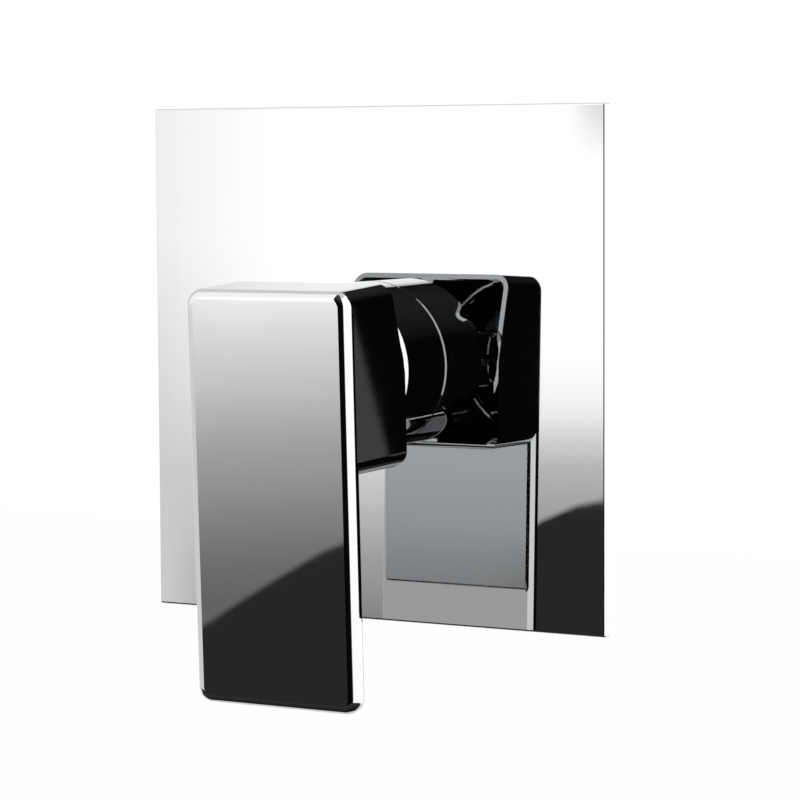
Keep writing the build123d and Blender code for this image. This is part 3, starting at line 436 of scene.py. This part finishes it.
class VALVE_OT_inside(bpy.types.Operator):
    """Dress the cartridge, balance unit, seals, lever stem and small hardware"""
    bl_idname = "valve.inside"
    bl_label = "Inner pieces"

    def execute(self, context):
        look = context.scene.valve_inside
        # Acetal: milky white with a waxy sheen and a hint of mould texture
        dress(plain_finish("moulded acetal", look.acetal, "D6D4CB", 14.0, (0.32, 0.45), 0.5, 0.01,
                           IOR=1.48, **{"Subsurface Weight": 0.05, "Subsurface Scale": 1.0 * MM}),
              "cartridge_housing", "rotor", "disc_carrier")
        # Glass-filled plastic: matt grey with short fibres that show as a fine mottle
        dress(plain_finish("glass-filled plastic", look.filled, "5C5E62", 2.0, (0.5, 0.65), 0.35, 0.03,
                           IOR=1.5), "cartridge_base", "balance_sleeve", "limit_cam", "limit_ring")
        # Alumina: ivory and lapped flat, so it is smoother than any moulding beside it
        dress(plain_finish("lapped alumina ceramic", "EFEBDD", "E6E0CE", 8.0, (0.1, 0.18), 0.2, 0.002,
                           IOR=1.76), "fixed_disc", "moving_disc")
        dress(turned_metal("turned stainless steel", "8E8F90", "A9AAAB", 0.26), "lever_pin", "lever_stem",
              "adapter_screw", "balance_piston")
        # Zinc die casting: dull bluish grey with flow marks from the die
        dress(plain_finish("zinc die casting", "7E8186", "97999D", 5.0, (0.38, 0.52), 0.6, 0.02,
                           Metallic=1.0), "handle_adapter")
        # Black oxide: a thin oiled black over steel that still glints at its edges
        dress(plain_finish("black oxide steel", "1F2022", "2E2F31", 2.0, (0.35, 0.5), 0.2, 0.01,
                           Metallic=1.0), "set_screw")
        # Nitrile rubber: black and matt with a dusting of grey
        dress(plain_finish("nitrile rubber", look.rubber, "262627", 3.0, (0.55, 0.75), 0.2, 0.01, IOR=1.52),
              "collar_oring", "cartridge_oring", "rotor_oring", "base_seals", "sleeve_orings",
              "hot_stop_washer", "cold_stop_washer")
        # Closed-cell foam: charcoal, with cells of about 0.5 mm that pit its cut faces
        dress(plain_finish("closed-cell foam", "2B2C2E", "3D3E40", 6.0, (0.85, 0.95), 0.5, 0.25),
              "plate_gasket")
        return {"FINISHED"}


class VALVE_OT_stage(bpy.types.Operator):
    """Set the camera, the lamps, the pale floor and the studio panels that the chrome mirrors"""
    bl_idname = "valve.stage"
    bl_label = "Stage"

    def execute(self, context):
        look = context.scene.valve_stage
        scene = context.scene
        scene.view_settings.view_transform = "Standard"
        self.aim_camera(scene, look)
        self.light(scene)
        self.lay_floor(look)
        self.hang_panels()
        return {"FINISHED"}

    def aim_camera(self, scene, look):
        """The camera looks along -back; side and rise are its own axes after its roll."""
        turn, height, roll = look.azimuth, look.elevation, look.roll
        back = Vector((math.sin(turn) * math.cos(height), -math.cos(turn) * math.cos(height),
                       math.sin(height)))
        right = Vector((math.cos(turn), math.sin(turn), 0))
        up = back.cross(right)
        side = right * math.cos(roll) + up * math.sin(roll)
        rise = up * math.cos(roll) - right * math.sin(roll)
        spot = Vector((0, PLATE_FRONT, 0)) + back * look.distance + right * 8.8 * MM - up * 11.39 * MM
        lens = bpy.data.cameras.new("camera")
        lens.lens = look.lens
        lens.sensor_width = 36.0
        lens.clip_start = 0.02
        lens.clip_end = 40.0
        camera = bpy.data.objects.new("camera", lens)
        turned = Matrix((side, rise, back)).transposed().to_4x4()
        camera.matrix_world = Matrix.Translation(spot) @ turned
        scene.collection.objects.link(camera)
        scene.camera = camera

    def light(self, scene):
        """White surround for eye and mirrors, a soft grey one for matt surfaces, and two large lamps."""
        world = bpy.data.worlds.new("studio")
        world.use_nodes = True
        tree = world.node_tree
        tree.nodes.clear()
        strength = spread(tree, shown_to_eye_and_mirror(tree), 0.45, 1.0, 0.0, 1.0)
        sky = add(tree, "ShaderNodeBackground", {"Color": WHITE, "Strength": strength})
        add(tree, "ShaderNodeOutputWorld", {"Surface": sky.outputs["Background"]})
        scene.world = world
        for name, spot, size, power in (
            ("key lamp", (-0.9, -1.3, 1.1), 1.2, 26.0),
            ("rear lamp", (0.8, 1.3, 0.9), 1.0, 16.0),
        ):
            lamp = bpy.data.lights.new(name, "AREA")
            lamp.shape = "SQUARE"
            lamp.size = size
            lamp.energy = power
            made = bpy.data.objects.new(name, lamp)
            aim = Vector((0, -0.06, 0)) - Vector(spot)
            made.matrix_world = Matrix.Translation(spot) @ aim.to_track_quat("-Z", "Y").to_matrix().to_4x4()
            made.visible_glossy = False
            scene.collection.objects.link(made)

    def lay_floor(self, look):
        """A wide pale floor far below the valve, white to the eye, that still takes a faint shadow."""
        corners = np.array([(-6, -6, 0), (6, -6, 0), (6, 6, 0), (-6, 6, 0)], float)
        corners[:, 2] = -look.floor_drop
        floor = new_mesh("floor", corners, np.array([(0, 1, 2, 3)]))
        made = bpy.data.materials.new("matt white studio paper")
        made.use_nodes = True
        tree = made.node_tree
        tree.nodes.clear()
        paper = add(tree, "ShaderNodeBsdfDiffuse", {"Color": linear("FCFCFB")})
        glow = add(tree, "ShaderNodeEmission", {"Color": WHITE, "Strength": 1.0})
        share = spread(tree, shown_to_eye_and_mirror(tree), 0.0, 0.985, 0.0, 1.0)
        mix = add(tree, "ShaderNodeMixShader", {
            0: share, 1: paper.outputs["BSDF"], 2: glow.outputs["Emission"]})
        add(tree, "ShaderNodeOutputMaterial", {"Surface": mix.outputs["Shader"]})
        floor.data.materials.append(made)

    def hang_panels(self):
        """Panels that give the mirror its lights and darks. Every strength suits a mirror that gives back
        a little over half of the light."""
        studio_panel("scrim", (-80, -22), (-45, 70), 1.6, light_paint("lit scrim", scrim_light))
        studio_panel("camera_flag", (-22, 39), (-40, 89), 1.55, light_paint("black cloth", cloth_light))
        studio_panel("side_scrim", (39, 160), (-31, 60), 1.6, light_paint("side scrim", side_light))
        studio_panel("low_flag", (-100, 150), (-89, -31), 0.8, light_paint("low black cloth", low_light))


class VALVE_PT_panel(bpy.types.Panel):
    """Sizes and colours of the dressed valve"""
    bl_idname = "VALVE_PT_panel"
    bl_label = "Shower valve"
    bl_space_type = "VIEW_3D"
    bl_region_type = "UI"
    bl_category = "Valve"

    def draw(self, context):
        for group, operator in (("valve_trim", "valve.trim"), ("valve_body", "valve.body"),
                                ("valve_inside", "valve.inside"), ("valve_stage", "valve.stage")):
            box = self.layout.box()
            settings = getattr(context.scene, group)
            for name in settings.__annotations__:
                box.prop(settings, name)
            box.operator(operator)


GROUPS = {"valve_trim": TrimFinish, "valve_body": BodyFinish, "valve_inside": InnerFinish,
          "valve_stage": StageSetting}
CLASSES = (*GROUPS.values(), VALVE_OT_trim, VALVE_OT_body, VALVE_OT_inside, VALVE_OT_stage, VALVE_PT_panel)


def register():
    for cls in CLASSES:
        bpy.utils.register_class(cls)
    for name, group in GROUPS.items():
        setattr(bpy.types.Scene, name, bpy.props.PointerProperty(type=group))


def unregister():
    for name in GROUPS:
        delattr(bpy.types.Scene, name)
    for cls in reversed(CLASSES):
        bpy.utils.unregister_class(cls)


def main():
    """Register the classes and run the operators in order."""
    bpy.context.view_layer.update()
    register()
    bpy.ops.valve.trim()
    bpy.ops.valve.body()
    bpy.ops.valve.inside()
    bpy.ops.valve.stage()


if __name__ == "__main__":
    main()
